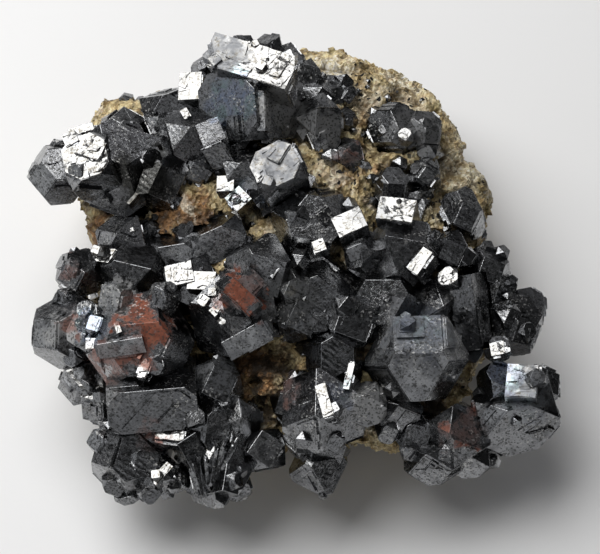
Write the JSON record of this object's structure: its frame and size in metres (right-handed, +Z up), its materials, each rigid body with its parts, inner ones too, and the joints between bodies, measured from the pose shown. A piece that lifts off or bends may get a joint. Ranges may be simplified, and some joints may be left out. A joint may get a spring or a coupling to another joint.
{
  "type": "galena specimen",
  "caption": "Mineral specimen: clustered lead-grey galena crystals, cubes with cut corners, grown on a rough tan siderite matrix with a flat sawn base.",
  "frame": {"origin": "under the middle of the specimen's box, on the sawn base", "axes": "+Z up from the sawn base; the crystal face leans back and looks up and towards -Y; +X is to the right seen from the front"},
  "size_m": [0.1092, 0.1084, 0.0589],
  "materials": {
    "galena": "satin",
    "siderite": "matte"
  },
  "bodies": {
    "root": {"matrix": "siderite", "crown_crystals": "galena", "left_point_crystals": "galena", "lower_left_crystals": "galena", "centre_crystals": "galena", "lower_right_crystals": "galena", "right_edge_crystals": "galena", "upper_right_crystals": "galena", "left_side_crystals": "galena", "right_side_crystals": "galena", "back_left_crystals": "galena", "back_right_crystals": "galena", "right_set_crystal": "galena", "red_sheen_crystal": "galena", "small_top_crystal": "galena", "small_middle_crystal": "galena", "small_right_crystal": "galena", "dull_crystal": "galena"}
  },
  "joints": []
}
